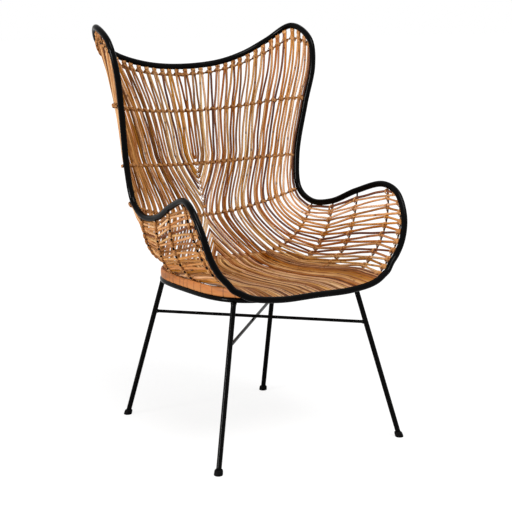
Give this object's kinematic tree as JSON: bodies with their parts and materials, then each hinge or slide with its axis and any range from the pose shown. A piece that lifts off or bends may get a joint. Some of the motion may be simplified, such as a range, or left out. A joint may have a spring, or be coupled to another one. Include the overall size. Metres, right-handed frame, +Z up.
{
  "type": "wing chair",
  "caption": "High-backed wing armchair: a bent black hoop filled with woven cane, on a base ring with splayed metal legs and crossed stretchers.",
  "frame": {"origin": "on the floor under the middle of the chair's bounding box", "axes": "+Z up, the sitter looks along -Y, +X is the sitter's left"},
  "size_m": [0.6694, 0.6994, 1.1026],
  "materials": {
    "black_metal": "satin black",
    "cane": "natural cane, lightly lacquered",
    "bent_cane": "bent cane pole, lacquered",
    "foot_rubber": "matte black"
  },
  "bodies": {
    "root": {"base_ring": "black_metal", "cane_back_vee_1": "cane", "cane_back_vee_2": "cane", "cane_back_vee_3": "cane", "cane_back_vee_4": "cane", "cane_left_01": "cane", "cane_left_02": "cane", "cane_left_03": "cane", "cane_left_04": "cane", "cane_left_05": "cane", "cane_left_06": "cane", "cane_left_07": "cane", "cane_left_08": "cane", "cane_left_09": "cane", "cane_left_10": "cane", "cane_left_11": "cane", "cane_left_12": "cane", "cane_left_13": "cane", "cane_left_14": "cane", "cane_right_01": "cane", "cane_right_02": "cane", "cane_right_03": "cane", "cane_right_04": "cane", "cane_right_05": "cane", "cane_right_06": "cane", "cane_right_07": "cane", "cane_right_08": "cane", "cane_right_09": "cane", "cane_right_10": "cane", "cane_right_11": "cane", "cane_right_12": "cane", "cane_right_13": "cane", "cane_right_14": "cane", "cane_seat_vee_1": "cane", "cane_seat_vee_2": "cane", "cane_seat_vee_3": "cane", "cane_seat_vee_4": "cane", "cross_rod_1": "black_metal", "cross_rod_2": "black_metal", "cross_rod_3": "black_metal", "cross_rod_4": "black_metal", "cross_rod_5": "black_metal", "cross_rod_6": "black_metal", "cross_rod_7": "black_metal", "cross_rod_8": "black_metal", "cross_rod_9": "black_metal", "foot_front_left": "foot_rubber", "foot_front_right": "foot_rubber", "foot_rear_left": "foot_rubber", "foot_rear_right": "foot_rubber", "leg_front_left": "black_metal", "leg_front_right": "black_metal", "leg_rear_left": "black_metal", "leg_rear_right": "black_metal", "outer_hoop_left": "black_metal", "outer_hoop_right": "black_metal", "seat_band": "bent_cane", "stretcher_lower": "black_metal", "stretcher_upper": "black_metal"}
  },
  "joints": []
}
